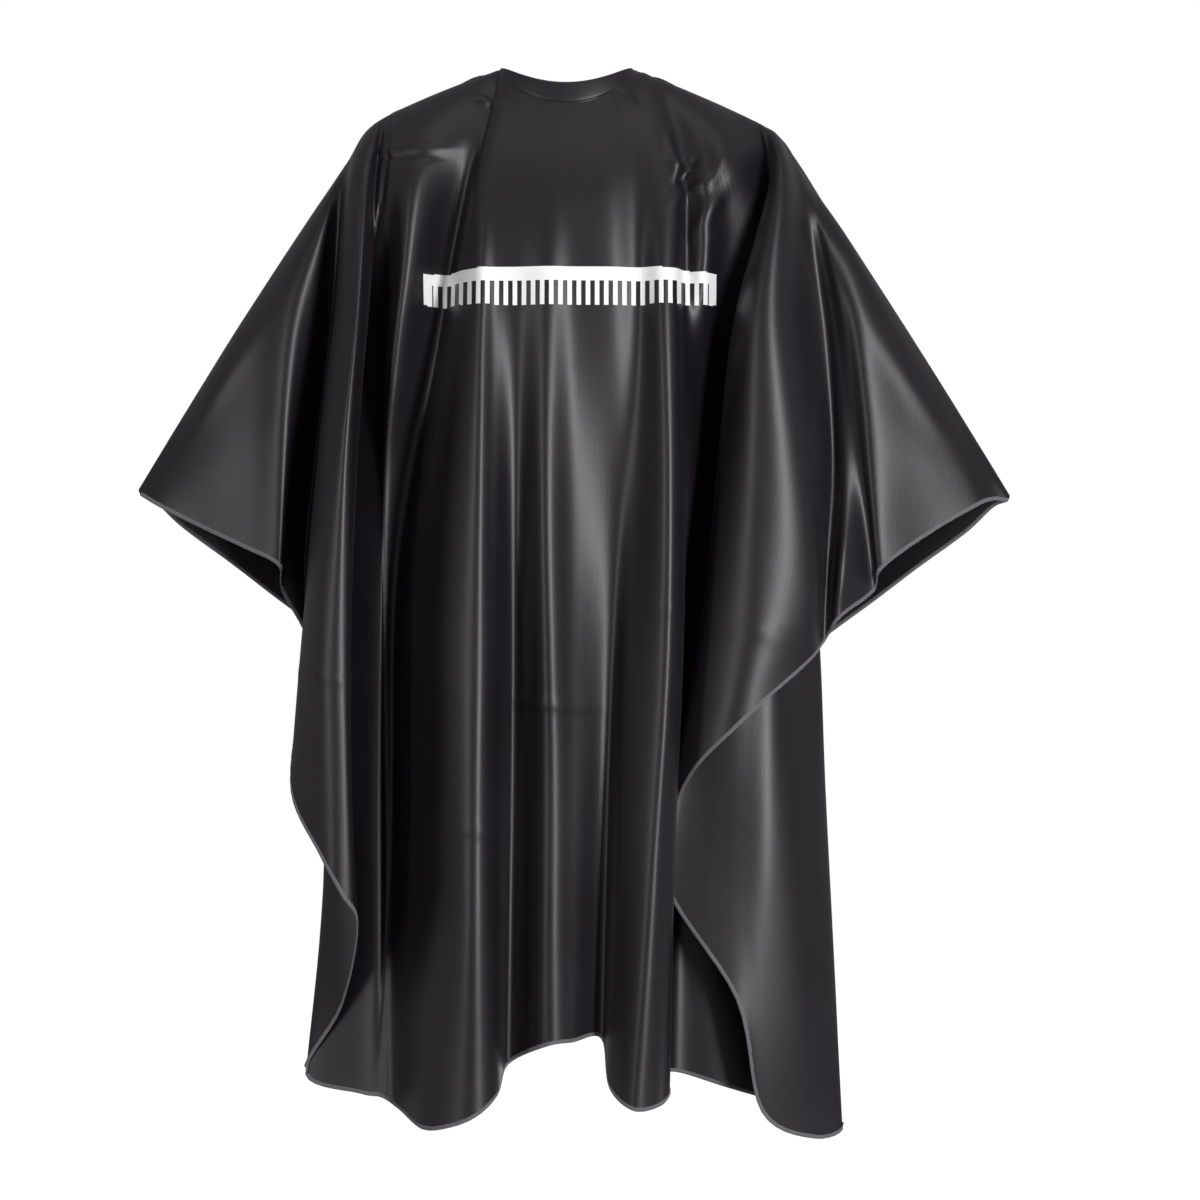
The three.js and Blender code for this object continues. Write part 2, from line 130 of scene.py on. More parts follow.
def makeStage():
    # camera straight in front, floor, room and softboxes
    view = {"lens": 85, "distance": 3.25, "across": 0.0395, "height": -0.6017, "plane": -0.10,
            "farthest": 100}
    cameraData = bpy.data.cameras.new("camera")
    cameraData.lens = view["lens"]
    cameraData.clip_end = view["farthest"]
    camera = bpy.data.objects.new("camera", cameraData)
    camera.location = (view["across"], view["plane"] - view["distance"], view["height"])
    camera.rotation_euler = (math.radians(90), 0, 0)
    bpy.context.scene.collection.objects.link(camera)
    bpy.context.scene.camera = camera

    # pale floor, bright to look at from every side, that throws no light up into the folds
    floor = {"height": -1.55, "half": 30.0, "glow": 0.99}
    paper, tree, shader = newMaterial("painted_plaster_floor", Roughness=0.9)
    shader.inputs["Base Color"].default_value = linear("#3c3c3c")
    shader.inputs["Specular IOR Level"].default_value = 0
    shader.inputs["Emission Color"].default_value = (1, 1, 1, 1)
    shader.inputs["Emission Strength"].default_value = floor["glow"]
    half = floor["half"]
    corners = np.array([[-half, -half], [half, -half], [half, half], [-half, half]])
    ground = meshObject("floor", np.column_stack([corners, np.full(4, floor["height"])]), [[0, 1, 2, 3]], paper)
    ground.visible_diffuse = ground.visible_glossy = False
    ground.visible_transmission = ground.visible_shadow = False

    # the room: white to look at, dim to light by
    room = {"seen": 1.0, "lights": 0.26}
    world = bpy.data.worlds.new("studio")
    world.use_nodes = True
    tree = world.node_tree
    tree.nodes["Background"].inputs["Strength"].default_value = room["lights"]
    tree.nodes["Background"].inputs["Color"].default_value = (1, 1, 1, 1)
    seen = addNode(tree, "ShaderNodeBackground", inputs={"Color": (1, 1, 1, 1), "Strength": room["seen"]})
    ray = addNode(tree, "ShaderNodeLightPath")
    mix = addNode(tree, "ShaderNodeMixShader", links={
        0: ray.outputs["Is Camera Ray"], 1: tree.nodes["Background"].outputs[0], 2: seen.outputs[0]})
    tree.links.new(mix.outputs[0], tree.nodes["World Output"].inputs["Surface"])
    bpy.context.scene.world = world
    bpy.context.scene.view_settings.view_transform = "Standard"

    # tall softboxes: name, place, width, height, watts
    boxes = [
        ("key_right", (2.0, -3.0, -0.3), 0.45, 3.0, 126),
        ("fill_left", (-2.4, -2.6, -0.3), 0.35, 3.0, 30),
        ("top", (0.0, -1.0, 2.6), 2.4, 1.0, 8),
        ("back", (1.0, 3.0, -0.75), 0.7, 1.3, 60),
    ]
    target = Vector((0, 0, -0.55))
    for name, place, width, height, watts in boxes:
        data = bpy.data.lights.new(name, "AREA")
        data.shape = "RECTANGLE"
        data.size, data.size_y, data.energy = width, height, watts
        lamp = bpy.data.objects.new(name, data)
        lamp.location = place
        lamp.rotation_euler = (target - Vector(place)).to_track_quat("-Z", "Y").to_euler()
        bpy.context.scene.collection.objects.link(lamp)
    print("stage: camera, floor and", len(boxes), "softboxes")


makeStage()


def satinMaterial():
    # Polyester satin, woven with long floats and calendered: near black, with a soft sheen that
    # runs in broad bands where a fold turns to the light, and slightly warm in its mid tones.
    material, tree, shader = newMaterial("woven_polyester_satin", Roughness=0.42)
    shader.inputs["IOR"].default_value = 1.5
    shader.inputs["Sheen Weight"].default_value = 0.06
    shader.inputs["Sheen Roughness"].default_value = 0.35
    shader.inputs["Sheen Tint"].default_value = linear("#d8cdd6")
    place = addNode(tree, "ShaderNodeTexCoord")
    where = place.outputs["Object"]
    tone = addNode(tree, "ShaderNodeTexNoise", inputs={"Scale": 5.0, "Detail": 2.0}, links={"Vector": where})
    colour = addNode(tree, "ShaderNodeValToRGB", links={"Fac": tone.outputs["Fac"]})
    colour.color_ramp.elements[0].position = 0.35
    colour.color_ramp.elements[0].color = linear("#0f0d12")
    colour.color_ramp.elements[1].position = 0.7
    colour.color_ramp.elements[1].color = linear("#19141b")
    tree.links.new(colour.outputs["Color"], shader.inputs["Base Color"])
    rough = addNode(tree, "ShaderNodeMapRange", inputs={"To Min": 0.39, "To Max": 0.46},
                    links={"Value": tone.outputs["Fac"]})
    tree.links.new(rough.outputs["Result"], shader.inputs["Roughness"])
    # real threads are about 0.12 mm apart; drawn at 1.6 mm so that the rib shows
    squeeze = addNode(tree, "ShaderNodeMapping", inputs={"Scale": (1, 1, 0.12)}, links={"Vector": where})
    rib = addNode(tree, "ShaderNodeTexNoise", inputs={"Scale": 620.0, "Detail": 1.0},
                  links={"Vector": squeeze.outputs["Vector"]})
    crinkle = addNode(tree, "ShaderNodeTexNoise", inputs={"Scale": 22.0, "Detail": 3.0, "Roughness": 0.5},
                      links={"Vector": where})
    soft = addNode(tree, "ShaderNodeBump", inputs={"Strength": 0.1, "Distance": 0.0035},
                   links={"Height": crinkle.outputs["Fac"]})
    fine = addNode(tree, "ShaderNodeBump", inputs={"Strength": 0.1, "Distance": 0.0006},
                   links={"Height": rib.outputs["Fac"], "Normal": soft.outputs["Normal"]})
    tree.links.new(fine.outputs["Normal"], shader.inputs["Normal"])
    return material


def clothReverse():
    # The same cloth's reverse, used for the under tab: matt and even.
    material, tree, shader = newMaterial("plain_woven_reverse", Roughness=0.62)
    shader.inputs["Sheen Weight"].default_value = 0.1
    where = addNode(tree, "ShaderNodeTexCoord").outputs["Object"]
    weave = addNode(tree, "ShaderNodeTexNoise", inputs={"Scale": 900.0, "Detail": 2.0}, links={"Vector": where})
    colour = addNode(tree, "ShaderNodeValToRGB", links={"Fac": weave.outputs["Fac"]})
    colour.color_ramp.elements[0].color = linear("#121113")
    colour.color_ramp.elements[1].color = linear("#1c1b1e")
    tree.links.new(colour.outputs["Color"], shader.inputs["Base Color"])
    bump = addNode(tree, "ShaderNodeBump", inputs={"Strength": 0.25, "Distance": 0.0004},
                   links={"Height": weave.outputs["Fac"]})
    tree.links.new(bump.outputs["Normal"], shader.inputs["Normal"])
    return material


def threadMaterial():
    # Spun polyester thread, twisted: duller and a little lighter than the satin, with a fuzzy edge.
    material, tree, shader = newMaterial("spun_polyester_thread", Roughness=0.7)
    shader.inputs["Sheen Weight"].default_value = 0.35
    where = addNode(tree, "ShaderNodeTexCoord").outputs["Object"]
    twist = addNode(tree, "ShaderNodeTexNoise", inputs={"Scale": 1500.0, "Detail": 2.0}, links={"Vector": where})
    colour = addNode(tree, "ShaderNodeValToRGB", links={"Fac": twist.outputs["Fac"]})
    colour.color_ramp.elements[0].color = linear("#1a191c")
    colour.color_ramp.elements[1].color = linear("#77757b")
    tree.links.new(colour.outputs["Color"], shader.inputs["Base Color"])
    return material


def snapMaterial():
    # Acetal snaps, injection moulded: glossy black with a faint orange-peel from the mould.
    material, tree, shader = newMaterial("moulded_acetal", Roughness=0.28)
    shader.inputs["Base Color"].default_value = linear("#141416")
    where = addNode(tree, "ShaderNodeTexCoord").outputs["Object"]
    peel = addNode(tree, "ShaderNodeTexNoise", inputs={"Scale": 1200.0, "Detail": 1.0}, links={"Vector": where})
    bump = addNode(tree, "ShaderNodeBump", inputs={"Strength": 0.08, "Distance": 0.0002},
                   links={"Height": peel.outputs["Fac"]})
    tree.links.new(bump.outputs["Normal"], shader.inputs["Normal"])
    return material


def inkMaterial():
    # Plastisol ink, screen printed and heat cured: matt white with a slight mesh grain.
    material, tree, shader = newMaterial("screen_printed_ink", Roughness=0.6)
    where = addNode(tree, "ShaderNodeTexCoord").outputs["Object"]
    grain = addNode(tree, "ShaderNodeTexNoise", inputs={"Scale": 700.0, "Detail": 2.0}, links={"Vector": where})
    colour = addNode(tree, "ShaderNodeValToRGB", links={"Fac": grain.outputs["Fac"]})
    colour.color_ramp.elements[0].color = linear("#dcdcdc")
    colour.color_ramp.elements[1].color = linear("#f6f6f6")
    tree.links.new(colour.outputs["Color"], shader.inputs["Base Color"])
    return material


def labelMaterial():
    # Woven ribbon for the label: off-white, fine cross ribs, soft sheen.
    material, tree, shader = newMaterial("woven_ribbon", Roughness=0.55)
    shader.inputs["Base Color"].default_value = linear("#ece9e0")
    shader.inputs["Sheen Weight"].default_value = 0.3
    where = addNode(tree, "ShaderNodeTexCoord").outputs["Object"]
    ribs = addNode(tree, "ShaderNodeTexWave", {"bands_direction": "Z"}, {"Scale": 400.0}, {"Vector": where})
    bump = addNode(tree, "ShaderNodeBump", inputs={"Strength": 0.2, "Distance": 0.0002},
                   links={"Height": ribs.outputs["Fac"]})
    tree.links.new(bump.outputs["Normal"], shader.inputs["Normal"])
    return material


satin = satinMaterial()
reverse = clothReverse()
thread = threadMaterial()
acetal = snapMaterial()
ink = inkMaterial()
ribbon = labelMaterial()
print("materials ready")


neck = {"halfWidth": 77, "halfDepth": 60, "sideRise": 26, "band": 24, "flare": 5, "slimming": 0.45,
        "seat": 0.8, "closure": 36, "rootGap": 0.6}
wings = {
    -1: {"shoulderOut": 228, "shoulderDrop": 40, "reach": 506, "drop": 471},
    1: {"shoulderOut": 246, "shoulderDrop": 50, "reach": 524, "drop": 478},
}


def neckPoint(angle, below, outward=0.0):
    # oval ring: x = a sin, y = -b cos, z = rise sin^2 - below, slimmer at the sides; angle in degrees
    a = np.radians(angle)
    flare = neck["flare"] * below / neck["band"]
    return np.stack(np.broadcast_arrays(
        (neck["halfWidth"] + flare + outward) * np.sin(a),
        -(neck["halfDepth"] + flare + outward) * np.cos(a),
        neck["sideRise"] * np.sin(a) ** 2 - below * (1 - neck["slimming"] * np.sin(a) ** 2),
    ), axis=-1)


seamHalfWidth = 82.0     # along the top edge, where the neck ends and a ridge begins
curveSamples = 400


def clothTop(angle):
    # where the cloth leaves the neckband: at the band's lower edge in front and at the back,
    # climbing over the band's outside to its top edge at the sides, as sin^6 of the angle
    climb = np.sin(np.radians(angle)) ** 6
    edge = neckPoint(angle, neck["band"] + neck["seat"])
    over = neckPoint(angle, 1.5, 2.6)
    return edge + (over - edge) * climb[..., None]


def ridgePoints(out, side):
    # the shoulder and wing ridge at a distance out from the middle: straight to the shoulder,
    # then straight to the wing tip, each with a slight rise, through a rounded shoulder
    wing = wings[side]
    neckSide = clothTop(np.array(90.0 * side))
    shoulder = np.array([side * wing["shoulderOut"], 0, -wing["shoulderDrop"]])
    tip = np.array([side * wing["reach"], 0, -wing["drop"]])
    knots = [neckSide, (neckSide + shoulder) / 2 + [0, 0, 4], shoulder]
    knots += [shoulder + (tip - shoulder) * t + [0, 0, 9 * math.sin(math.pi * t)]
              for t in (0.12, 0.3, 0.52, 0.77, 1)]
    curve = splineWeights(np.linspace(0, len(knots) - 1, curveSamples), len(knots)) @ np.array(knots)
    ordered = np.argsort(curve[:, 0] * side)
    x = np.clip(out, neckSide[0] * side, wing["reach"])
    z = np.interp(x, curve[ordered, 0] * side, curve[ordered, 2])
    return np.stack([side * x, np.zeros_like(x), z], axis=-1)


def frontTop(starts):
    # top edge of the front: round the neckband's lower edge, then out along both ridges
    starts = np.asarray(starts, float)
    angle = np.degrees(np.arcsin(np.clip(starts / seamHalfWidth, -1, 1)))
    onNeck = clothTop(angle)
    onRidge = np.where(starts[:, None] < 0, ridgePoints(-starts, -1), ridgePoints(starts, 1))
    return np.where(np.abs(starts)[:, None] < seamHalfWidth, onNeck, onRidge)


# Each line follows one ridge or valley of a fold down the cloth: where it starts along the top
# edge (distance from the middle, mm), then places it passes (x, y, z in mm), the last on a free edge.

frontFolds = [
    (-506, [(-505, -4, -474), (-503, -6, -478)]),
    (-455, [(-458, -20, -430), (-474, -26, -494)]),
    (-395, [(-402, -34, -330), (-410, -46, -430), (-420, -42, -520)]),
    (-340, [(-352, -46, -275), (-362, -62, -400), (-374, -56, -541)]),
    (-300, [(-314, -50, -215), (-326, -74, -370), (-333, -70, -562)]),
    (-275, [(-285, -44, -165), (-302, -54, -300), (-316, -58, -440), (-330, -54, -592)]),
    (-255, [(-264, -32, -130), (-276, -20, -280), (-294, -16, -430), (-306, -28, -560), (-300, -50, -655)]),
    (-244, [(-254, -60, -125), (-268, -70, -270), (-286, -80, -430), (-300, -80, -600), (-308, -76, -730)]),
    (-236, [(-246, -74, -125), (-259, -96, -270), (-281, -112, -440), (-300, -108, -640), (-315, -98, -822)]),
    (-228, [(-236, -82, -128), (-246, -114, -280), (-264, -136, -440), (-277, -144, -620), (-279, -142, -760),
            (-279, -134, -890)]),
    (-221, [(-228, -80, -130), (-236, -120, -280), (-247, -144, -440), (-254, -151, -620), (-254, -150, -780),
            (-254, -140, -935)]),
    (-215, [(-223, -62, -130), (-229, -94, -280), (-237, -116, -440), (-243, -130, -620), (-243, -132, -800),
            (-237, -118, -975)]),
    (-210, [(-217, -66, -130), (-232, -52, -290), (-252, -54, -480), (-258, -62, -680), (-256, -56, -880),
            (-262, -44, -1076)]),
    (-205, [(-211, -68, -130), (-250, -32, -320), (-280, -22, -520), (-290, -15, -680), (-285, -12, -880),
            (-290, -12, -1000), (-307, -15, -1160)]),
    (-196, [(-202, -76, -122), (-213, -50, -300), (-222, -40, -500), (-226, -34, -750), (-226, -38, -1000),
            (-240, -45, -1177)]),
    (-150, [(-168, -86, -100), (-184, -106, -230), (-200, -84, -350), (-210, -48, -480), (-212, -30, -700),
            (-210, -30, -950), (-214, -54, -1180)]),
    (-96, [(-110, -60, -60), (-122, -58, -130), (-138, -58, -215), (-154, -52, -320), (-176, -42, -440),
           (-194, -36, -600), (-196, -36, -850), (-193, -66, -1192)]),
    (-80, [(-104, -80, -110), (-122, -94, -235), (-146, -102, -420), (-158, -110, -600), (-160, -112, -850),
           (-164, -120, -1204)]),
    (-77, [(-101, -88, -112), (-113, -112, -250), (-126, -138, -440), (-132, -149, -620), (-133, -150, -880),
           (-134, -150, -1198)]),
    (-72, [(-92, -97, -120), (-97, -136, -290), (-99, -162, -500), (-100, -168, -700), (-102, -168, -940),
           (-101, -160, -1184)]),
    (-64, [(-77, -103, -130), (-79, -130, -300), (-80, -148, -520), (-79, -148, -800), (-77, -140, -1163)]),
    (-48, [(-50, -109, -140), (-53, -127, -300), (-56, -122, -520), (-60, -98, -780), (-66, -86, -1136)]),
    (-18, [(-18, -115, -150), (-22, -144, -330), (-23, -154, -540), (-21, -138, -800), (-22, -122, -1110)]),
    (6, [(7, -114, -150), (10, -132, -330), (11, -134, -540), (11, -122, -800), (8, -110, -1107)]),
    (42, [(50, -110, -140), (54, -127, -300), (54, -122, -520), (48, -100, -780), (41, -82, -1107)]),
    (60, [(78, -98, -125), (84, -122, -300), (77, -132, -520), (64, -130, -800), (50, -116, -1158)]),
    (74, [(102, -90, -100), (108, -138, -260), (112, -160, -460), (108, -164, -700), (92, -158, -950),
          (76, -150, -1178)]),
    (88, [(122, -82, -95), (126, -128, -250), (128, -150, -440), (126, -154, -650), (114, -148, -900),
          (104, -138, -1177)]),
    (104, [(138, -68, -92), (138, -96, -250), (137, -116, -440), (135, -124, -650), (125, -122, -900),
           (119, -120, -1166)]),
    (130, [(160, -78, -90), (162, -100, -200), (156, -76, -330), (146, -64, -480), (134, -52, -650),
           (126, -44, -900), (122, -42, -1152)]),
    (180, [(190, -78, -90), (192, -70, -180), (184, -48, -320), (182, -40, -480), (170, -34, -650),
           (166, -34, -900), (190, -34, -1172)]),
    (222, [(236, -42, -112), (258, -34, -300), (282, -22, -500), (294, -15, -660), (300, -12, -820),
           (311, -12, -1040), (320, -16, -1216)]),
    (226, [(238, -48, -116), (250, -48, -290), (266, -48, -480), (272, -48, -650), (275, -66, -850),
           (282, -62, -1040), (292, -44, -1230)]),
    (229, [(238, -54, -116), (240, -56, -290), (246, -64, -480), (243, -84, -650), (238, -95, -850),
           (232, -92, -1010), (226, -80, -1192)]),
    (232, [(238, -58, -116), (220, -58, -285), (212, -70, -470), (208, -90, -640), (198, -100, -820),
           (196, -98, -1060)]),
    (235, [(236, -66, -116), (196, -72, -280), (176, -84, -460), (158, -96, -640), (132, -98, -800),
           (114, -96, -925)]),
    (238, [(238, -80, -116), (197, -102, -280), (181, -114, -460), (166, -120, -640), (136, -116, -815)]),
    (241, [(246, -90, -113), (216, -134, -280), (216, -146, -460), (216, -147, -620), (197, -142, -743)]),
    (245, [(256, -84, -114), (250, -126, -280), (270, -134, -460), (280, -128, -590), (274, -118, -676)]),
    (252, [(270, -56, -120), (290, -52, -260), (306, -50, -420), (302, -72, -540), (297, -80, -652)]),
    (262, [(284, -48, -138), (313, -50, -290), (323, -64, -460), (318, -94, -560), (316, -88, -622)]),
    (280, [(302, -50, -168), (326, -58, -290), (340, -62, -440), (350, -62, -540), (357, -58, -592)]),
    (318, [(338, -50, -215), (352, -72, -370), (366, -72, -565)]),
    (368, [(384, -44, -290), (402, -58, -410), (422, -52, -525)]),
    (430, [(446, -28, -385), (460, -36, -440), (480, -32, -492)]),
    (490, [(494, -12, -446), (502, -14, -484)]),
    (524, [(523, -4, -481), (521, -6, -485)]),
]

# the back, given for the right side; the left is its mirror image at the left wing's reach
backFolds = [
    (49, [(47, 92, -80), (44, 112, -200), (40, 106, -328)]),
    (66, [(66, 94, -80), (70, 122, -210), (74, 118, -378)]),
    (100, [(108, 76, -75), (116, 110, -230), (126, 92, -452)]),
    (140, [(148, 82, -95), (160, 126, -260), (172, 118, -535)]),
    (185, [(190, 70, -105), (200, 100, -290), (222, 80, -590)]),
    (222, [(228, 70, -120), (246, 108, -330), (284, 76, -667)]),
    (262, [(268, 52, -165), (290, 78, -350), (318, 60, -640)]),
    (318, [(322, 44, -240), (340, 64, -390), (366, 48, -604)]),
    (368, [(374, 36, -310), (394, 50, -430), (416, 34, -565)]),
    (430, [(436, 20, -390), (474, 20, -522)]),
    (490, [(493, 8, -450), (505, 10, -492)]),
    (524, [(523, 4, -481), (521, 6, -485)]),
]


def foldCurve(top, places, rows, rolls):
    # a curve through the top point and the places, evenly by length; over a ridge it starts level
    points = np.vstack([top, places])
    before = np.array([points[1][0], 2 * top[1] - points[1][1], points[1][2]]) if rolls else 2 * top - points[1]
    after = 2 * points[-1] - points[-2]
    padded = np.vstack([before, points, after])
    fine = splineWeights(np.linspace(1, len(padded) - 2, curveSamples), len(padded)) @ padded
    length = np.concatenate([[0], np.cumsum(np.linalg.norm(np.diff(fine, axis=0), axis=1))])
    return np.stack([np.interp(rows * length[-1], length, fine[:, k]) for k in range(3)], axis=1)


sheet = {"rows": 190, "perFold": 7, "backRows": 110, "backPerFold": 7, "flatWidth": 1.52, "flatLength": 1.47}


def creased(grid, marks, outward):
    # pushes the cloth out by a sum of soft creases: depth exp(-(across/width)^2) exp(-(along/length)^2)
    along = np.gradient(grid, axis=0)
    down = np.gradient(grid, axis=1)
    normal = unit(np.cross(along, down))
    normal *= np.sign((normal[..., 1:2] * outward).mean())
    push = np.zeros(grid.shape[:2])
    for x, z, turn, width, length, depth in marks:
        a = math.radians(turn)
        dx, dz = grid[..., 0] - x, grid[..., 2] - z
        across = dx * math.cos(a) + dz * math.sin(a)
        lengthwise = -dx * math.sin(a) + dz * math.cos(a)
        push += depth * np.exp(-(across / width) ** 2 - (lengthwise / length) ** 2)
    return grid + normal * push[..., None]


def makeCape():
    # the front is a spline surface through the fold lines; each back panel is another, welded to
    # the front along the ridge, and both carry a sum of slow sine waves
    rows = np.linspace(0, 1, sheet["rows"]) ** 1.25
    starts = np.array([start for start, _ in frontFolds], float)
    tops = frontTop(starts)
    lines = np.array([foldCurve(top, np.array(places, float), rows, abs(start) > seamHalfWidth)
                      for top, (start, places) in zip(tops, frontFolds)])
    places = np.linspace(0, len(starts) - 1, (len(starts) - 1) * sheet["perFold"] + 1)
    front = np.einsum("uk,kvc->uvc", splineWeights(places, len(starts)), lines)
    stops = np.interp(places, np.arange(len(starts)), starts)
    front[:, 0] = frontTop(stops)

    # small irregularities: slow waves down the folds, and the creases of a folded, unpacked cape
    wave = (0.9 * np.sin(front[..., 2] / 83 + front[..., 0] / 29)
            + 0.4 * np.sin(front[..., 2] / 41 - front[..., 0] / 37 + 1.3))
    fade = np.clip(rows * 6, 0, 1)[None, :]
    front[..., 1] += wave * fade * np.where(front[..., 2] < -60, 1.0, 0.3)
    marks = [                                 # x, z, turn, width, length, depth
        (132, -104, 62, 5, 20, 6), (136, -112, -38, 4, 24, -5), (124, -98, 10, 4, 30, 5),
        (150, -128, -60, 6, 26, 5), (168, -150, -32, 7, 40, 5), (176, -100, -20, 8, 40, 4),
        (-180, -88, 90, 4, 42, -4), (-176, -80, 88, 7, 46, 3), (-96, -18, 70, 4, 16, 4),
        (70, -14, 40, 4, 14, 4), (-10, -720, 84, 5, 50, 2), (110, -610, 80, 5, 36, 2),
        (-110, -860, 86, 5, 40, 2), (-270, -690, 82, 5, 30, 2), (230, -640, 84, 6, 36, 2),
        (400, -350, 34, 12, 90, 2.5), (-400, -350, -34, 12, 90, 2.5),
    ]
    front = creased(front, marks, -1)

    verts = [front.reshape(-1, 3)]
    frontIndex = np.arange(front.shape[0] * front.shape[1]).reshape(front.shape[:2])
    faces = [gridFaces(frontIndex)]
    grids = {"front": front}
    offset = frontIndex.size
    backRows = np.linspace(0, 1, sheet["backRows"]) ** 1.2
    backStarts = np.array([start for start, _ in backFolds], float)
    for side in (-1, 1):
        wing = wings[side]
        scale = np.array([side * wing["reach"] / wings[1]["reach"], 1, wing["drop"] / wings[1]["drop"]])
        ridgeStops = side * stops[side * stops >= seamHalfWidth]
        ridgeColumns = np.where(side * stops >= seamHalfWidth)[0]
        if side > 0:
            ridgeStops, ridgeColumns = ridgeStops[::-1], ridgeColumns[::-1]
        sideStarts = np.where(backStarts < seamHalfWidth, backStarts, backStarts * wing["reach"] / wings[1]["reach"])
        neckAngles = 180 - np.degrees(np.arcsin(np.clip(sideStarts / seamHalfWidth, 0, 1)))
        tops = np.where(sideStarts[:, None] < seamHalfWidth,
                        clothTop(side * neckAngles), ridgePoints(sideStarts, side))
        lines = np.array([foldCurve(top, np.array(places, float) * scale, backRows, start >= seamHalfWidth)
                          for top, start, (_, places) in zip(tops, sideStarts, backFolds)])
        neckStops = np.linspace(seamHalfWidth, backStarts[0], 3 * sheet["backPerFold"])[1:]
        wanted = np.concatenate([ridgeStops, neckStops])
        at = np.interp(wanted, sideStarts, np.arange(len(sideStarts)))
        back = np.einsum("uk,kvc->uvc", splineWeights(at, len(sideStarts)), lines)
        back[:len(ridgeStops), 0] = ridgePoints(ridgeStops, side)
        neckAngle = 180 - np.degrees(np.arcsin(np.clip(neckStops / seamHalfWidth, 0, 1)))
        back[len(ridgeStops):, 0] = clothTop(side * neckAngle)
        back[..., 1] += (1.6 * np.sin(back[..., 2] / 41 + back[..., 0] / 31)
                         + 0.8 * np.sin(back[..., 2] / 17 - back[..., 0] / 37)) * np.clip(backRows * 6, 0, 1)
        index = offset + np.arange(back[:, 1:, 0].size).reshape(back.shape[0], -1)
        seam = np.full(back.shape[0], -1)
        seam[:len(ridgeStops)] = frontIndex[ridgeColumns, 0]
        extra = offset + index.size + np.arange(len(neckStops))
        seam[len(ridgeStops):] = extra
        full = np.concatenate([seam[:, None], index], axis=1)
        part = gridFaces(full)
        faces.append(part if side < 0 else part[:, ::-1])
        verts += [back[:, 1:].reshape(-1, 3), back[len(ridgeStops):, 0]]
        offset += index.size + len(neckStops)
        grids[side] = back
    cape = meshObject("cape_sheet", np.vstack(verts) * mm, np.vstack(faces), satin)
    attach(cape, "cape")
    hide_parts("left_front_cloth", "right_front_cloth", "left_wing_cloth", "right_wing_cloth",
                "left_back_cloth", "right_back_cloth")
    print("cape sheet:", len(cape.data.polygons), "faces")
    return cape, grids


cape, grids = makeCape()


overlock = {"width": 4.6, "thickness": 1.5, "pitch": 3.4, "step": 0.85, "stitchDepth": 0.42, "around": 8}


def evenPath(points, step):
    # the same path with points every step along it
    length = np.concatenate([[0], np.cumsum(np.linalg.norm(np.diff(points[:, :3], axis=0), axis=1))])
    wanted = np.linspace(0, length[-1], int(length[-1] / step) + 2)
    return np.stack([np.interp(wanted, length, points[:, k]) for k in range(points.shape[1])], axis=1), wanted


def makeOverlock(name, edge, inner, node):
    # a flat tube wrapped over the edge; its thickness rises and falls once each stitch, on a slant
    path, length = evenPath(np.hstack([edge, inner]), overlock["step"])
    edge, inner = path[:, :3], path[:, 3:]
    tangent = unit(np.gradient(edge, axis=0))
    away = edge - inner
    outward = unit(away - tangent * (away * tangent).sum(axis=1, keepdims=True))
    normal = unit(np.cross(tangent, outward))
    around = np.linspace(0, 2 * math.pi, overlock["around"], endpoint=False)
    slant = 2 * math.pi * (length[:, None] / overlock["pitch"]) + 0.9 * np.cos(around)[None, :]
    swell = 1 + overlock["stitchDepth"] * np.cos(slant)
    reach = (np.cos(around)[None, :] - 0.7) * overlock["width"] / 2
    rise = np.sin(around)[None, :] * overlock["thickness"] / 2 * swell
    tube = (edge[:, None] + outward[:, None] * reach[..., None] + normal[:, None] * rise[..., None])
    index = np.arange(tube.shape[0] * tube.shape[1]).reshape(tube.shape[:2])
    faces = gridFaces(index, closedDown=True).tolist()
    caps = [index[0].tolist(), index[-1][::-1].tolist()]
    obj = meshObject(name, tube.reshape(-1, 3) * mm, faces + caps, thread)
    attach(obj, "cape")
    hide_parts(node)
    return obj


overlocks = [makeOverlock("front_overlock_stitch", grids["front"][:, -1], grids["front"][:, -4], "front_overlock")]
for side, word in ((-1, "left"), (1, "right")):
    back = grids[side]
    edge = np.vstack([back[:, -1], back[-1, -2:1:-1]])
    inner = np.vstack([back[:, -5], back[-4, -2:1:-1]])
    overlocks.append(makeOverlock(f"{word}_back_overlock_stitch", edge, inner, f"{word}_back_overlock"))
print("overlock:", sum(len(o.data.polygons) for o in overlocks), "faces")


band = {"steps": 220, "around": 28, "thickness": 3.0, "tabThickness": 1.9, "stepAngle": 8, "overlap": 32}
snap = {"radius": 5.5, "flange": 0.8, "knobRadius": 2.2, "knobHeight": 1.5, "socketHeight": 2.1,
        "socketFloor": 0.5, "capHeight": 1.3, "gap": 0.3, "tab": 1.6, "pitchAngle": 13,
        "pin": 0.9, "postHead": 0.9, "knobClearance": 0.4, "sides": 40}
studSeat = snap["tab"] / 2 + snap["gap"]
socketSeat = studSeat + snap["flange"] + snap["gap"]
overTabOut = socketSeat + snap["socketHeight"] + snap["gap"] + snap["tab"] / 2
capSeat = overTabOut + snap["tab"] / 2 + snap["gap"]


